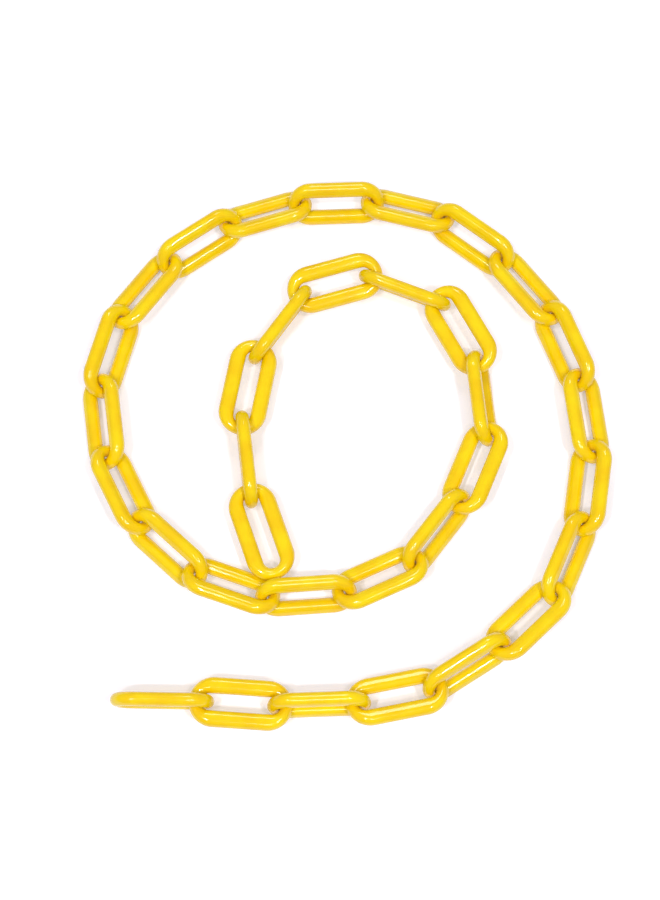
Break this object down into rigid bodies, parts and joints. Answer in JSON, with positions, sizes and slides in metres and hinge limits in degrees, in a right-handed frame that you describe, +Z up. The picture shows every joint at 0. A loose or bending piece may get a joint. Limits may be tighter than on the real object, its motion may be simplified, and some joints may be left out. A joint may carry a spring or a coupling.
{
  "type": "plastic barrier chain",
  "caption": "Coiled length of plastic barrier chain: closed oval moulded links, each hinged to the next, laid in a flat spiral.",
  "frame": {"origin": "middle of the footprint of the whole coil, at the height of the surface that it lies on", "axes": "+Z up, square to the surface; +X to the right in the plan that has the outer end at the lower left, +Y away from that edge"},
  "size_m": [0.2714, 0.2864, 0.0246],
  "materials": {
    "yellow_plastic": "glossy moulded polyethylene, traffic yellow all through"
  },
  "bodies": {
    "outer_end_link": {"outer_end_link": "yellow_plastic"},
    "link_02": {"link_02": "yellow_plastic"},
    "link_03": {"link_03": "yellow_plastic"},
    "link_04": {"link_04": "yellow_plastic"},
    "link_05": {"link_05": "yellow_plastic"},
    "link_06": {"link_06": "yellow_plastic"},
    "link_07": {"link_07": "yellow_plastic"},
    "link_08": {"link_08": "yellow_plastic"},
    "link_09": {"link_09": "yellow_plastic"},
    "link_10": {"link_10": "yellow_plastic"},
    "link_11": {"link_11": "yellow_plastic"},
    "link_12": {"link_12": "yellow_plastic"},
    "link_13": {"link_13": "yellow_plastic"},
    "link_14": {"link_14": "yellow_plastic"},
    "link_15": {"link_15": "yellow_plastic"},
    "link_16": {"link_16": "yellow_plastic"},
    "link_17": {"link_17": "yellow_plastic"},
    "link_18": {"link_18": "yellow_plastic"},
    "link_19": {"link_19": "yellow_plastic"},
    "link_20": {"link_20": "yellow_plastic"},
    "link_21": {"link_21": "yellow_plastic"},
    "link_22": {"link_22": "yellow_plastic"},
    "link_23": {"link_23": "yellow_plastic"},
    "link_24": {"link_24": "yellow_plastic"},
    "link_25": {"link_25": "yellow_plastic"},
    "link_26": {"link_26": "yellow_plastic"},
    "link_27": {"link_27": "yellow_plastic"},
    "link_28": {"link_28": "yellow_plastic"},
    "link_29": {"link_29": "yellow_plastic"},
    "link_30": {"link_30": "yellow_plastic"},
    "link_31": {"link_31": "yellow_plastic"},
    "link_32": {"link_32": "yellow_plastic"},
    "link_33": {"link_33": "yellow_plastic"},
    "inner_end_link": {"inner_end_link": "yellow_plastic"}
  },
  "joints": [
    {"name": "joint_01_02", "type": "hinge", "parent": "outer_end_link", "child": "link_02", "pos_m": [-0.0668, -0.12895, 0.0123], "axis": [0, 0, 1], "range_deg": [-52, 45]},
    {"name": "joint_02_03", "type": "hinge", "parent": "link_02", "child": "link_03", "pos_m": [-0.03588, -0.13114, 0.01207], "axis": [0.0079, -0.2248, -0.9744], "range_deg": [-35, 60]},
    {"name": "joint_03_04", "type": "hinge", "parent": "link_03", "child": "link_04", "pos_m": [0.00989, -0.12954, 0.01207], "axis": [-0.0079, 0.2248, 0.9744], "range_deg": [-42, 25]},
    {"name": "joint_04_05", "type": "hinge", "parent": "link_04", "child": "link_05", "pos_m": [0.04046, -0.12391, 0.0114], "axis": [0.2323, -0.3718, -0.8988], "range_deg": [-18, 60]},
    {"name": "joint_05_06", "type": "hinge", "parent": "link_05", "child": "link_06", "pos_m": [0.0793, -0.09964, 0.0114], "axis": [-0.2323, 0.3718, 0.8988], "range_deg": [-41, 14]},
    {"name": "joint_06_07", "type": "hinge", "parent": "link_06", "child": "link_07", "pos_m": [0.10259, -0.07881, 0.01032], "axis": [0.5749, -0.256, -0.7771], "range_deg": [-8, 60]},
    {"name": "joint_07_08", "type": "hinge", "parent": "link_07", "child": "link_08", "pos_m": [0.12122, -0.03697, 0.01032], "axis": [-0.5749, 0.256, 0.7771], "range_deg": [-32, 44]},
    {"name": "joint_08_09", "type": "hinge", "parent": "link_08", "child": "link_09", "pos_m": [0.12638, 0.0012, 0.01063], "axis": [-0.6923, 0.1096, -0.7133], "range_deg": [-12, 60]},
    {"name": "joint_09_10", "type": "hinge", "parent": "link_09", "child": "link_10", "pos_m": [0.12237, 0.03216, 0.01069], "axis": [0.5318, 0.2149, 0.8192], "range_deg": [-38, 12]},
    {"name": "joint_10_11", "type": "hinge", "parent": "link_10", "child": "link_11", "pos_m": [0.10522, 0.07462, 0.01069], "axis": [-0.5318, -0.2149, -0.8192], "range_deg": [-45, 60]},
    {"name": "joint_11_12", "type": "hinge", "parent": "link_11", "child": "link_12", "pos_m": [0.0855, 0.09878, 0.01069], "axis": [0.3452, 0.4581, 0.8192], "range_deg": [-60, 16]},
    {"name": "joint_12_13", "type": "hinge", "parent": "link_12", "child": "link_13", "pos_m": [0.04892, 0.12634, 0.01069], "axis": [-0.3452, -0.4581, -0.8192], "range_deg": [-45, 60]},
    {"name": "joint_13_14", "type": "hinge", "parent": "link_13", "child": "link_14", "pos_m": [0.0185, 0.13364, 0.01069], "axis": [-0.02, 0.5732, 0.8192], "range_deg": [-60, 15]},
    {"name": "joint_14_15", "type": "hinge", "parent": "link_14", "child": "link_15", "pos_m": [-0.02728, 0.13204, 0.01069], "axis": [0.02, -0.5732, -0.8192], "range_deg": [-10, 60]},
    {"name": "joint_15_16", "type": "hinge", "parent": "link_15", "child": "link_16", "pos_m": [-0.05713, 0.123, 0.01069], "axis": [-0.3207, 0.4755, 0.8192], "range_deg": [-60, 9]},
    {"name": "joint_16_17", "type": "hinge", "parent": "link_16", "child": "link_17", "pos_m": [-0.0951, 0.09738, 0.01069], "axis": [0.3207, -0.4755, -0.8192], "range_deg": [-7, 53]},
    {"name": "joint_17_18", "type": "hinge", "parent": "link_17", "child": "link_18", "pos_m": [-0.11457, 0.07286, 0.01043], "axis": [-0.6023, 0.1727, 0.7793], "range_deg": [-60, 8]},
    {"name": "joint_18_19", "type": "hinge", "parent": "link_18", "child": "link_19", "pos_m": [-0.1272, 0.02883, 0.01043], "axis": [0.6023, -0.1727, -0.7793], "range_deg": [-45, 40]},
    {"name": "joint_19_20", "type": "hinge", "parent": "link_19", "child": "link_20", "pos_m": [-0.1227, -0.0023, 0.011], "axis": [-0.6322, -0.3221, 0.7046], "range_deg": [-60, 10]},
    {"name": "joint_20_21", "type": "hinge", "parent": "link_20", "child": "link_21", "pos_m": [-0.10627, -0.03729, 0.01005], "axis": [-0.4443, -0.4934, -0.7478], "range_deg": [-12, 40]},
    {"name": "joint_21_22", "type": "hinge", "parent": "link_21", "child": "link_22", "pos_m": [-0.07224, -0.06793, 0.01005], "axis": [0.4443, 0.4934, 0.7478], "range_deg": [-55, 11]},
    {"name": "joint_22_23", "type": "hinge", "parent": "link_22", "child": "link_23", "pos_m": [-0.04244, -0.07803, 0.01067], "axis": [0.0402, -0.575, -0.8171], "range_deg": [-15, 45]},
    {"name": "joint_23_24", "type": "hinge", "parent": "link_23", "child": "link_24", "pos_m": [0.00324, -0.07483, 0.01067], "axis": [-0.0402, 0.575, 0.8171], "range_deg": [-60, 0]},
    {"name": "joint_24_25", "type": "hinge", "parent": "link_24", "child": "link_25", "pos_m": [0.03194, -0.06218, 0.0112], "axis": [0.3796, -0.2966, -0.8763], "range_deg": [0, 50]},
    {"name": "joint_25_26", "type": "hinge", "parent": "link_25", "child": "link_26", "pos_m": [0.06014, -0.02609, 0.0112], "axis": [-0.3796, 0.2966, 0.8763], "range_deg": [-60, 0]},
    {"name": "joint_26_27", "type": "hinge", "parent": "link_26", "child": "link_27", "pos_m": [0.07251, 0.00256, 0.01163], "axis": [0.379, 0.0398, -0.9245], "range_deg": [0, 20]},
    {"name": "joint_27_28", "type": "hinge", "parent": "link_27", "child": "link_28", "pos_m": [0.06772, 0.04811, 0.01163], "axis": [-0.379, -0.0398, 0.9245], "range_deg": [-30, 0]},
    {"name": "joint_28_29", "type": "hinge", "parent": "link_28", "child": "link_29", "pos_m": [0.05264, 0.07546, 0.01196], "axis": [0.0988, 0.2573, -0.9613], "range_deg": [0, 33]},
    {"name": "joint_29_30", "type": "hinge", "parent": "link_29", "child": "link_30", "pos_m": [0.00988, 0.09187, 0.01196], "axis": [-0.0988, -0.2573, 0.9613], "range_deg": [-10, 0]},
    {"name": "joint_30_31", "type": "hinge", "parent": "link_30", "child": "link_31", "pos_m": [-0.02004, 0.08319, 0.01218], "axis": [-0.1349, 0.098, -0.986], "range_deg": [-7, 6]},
    {"name": "joint_31_32", "type": "hinge", "parent": "link_31", "child": "link_32", "pos_m": [-0.04696, 0.04613, 0.01218], "axis": [0.1349, -0.098, 0.986], "range_deg": [-8, 45]},
    {"name": "joint_32_33", "type": "hinge", "parent": "link_32", "child": "link_33", "pos_m": [-0.05283, 0.01568, 0.01229], "axis": [-0.0554, -0.0068, -0.9984], "range_deg": [-45, 1]},
    {"name": "joint_33_34", "type": "hinge", "parent": "link_33", "child": "inner_end_link", "pos_m": [-0.04725, -0.02978, 0.01229], "axis": [0.0554, 0.0068, 0.9984], "range_deg": [-4, 45]}
  ]
}
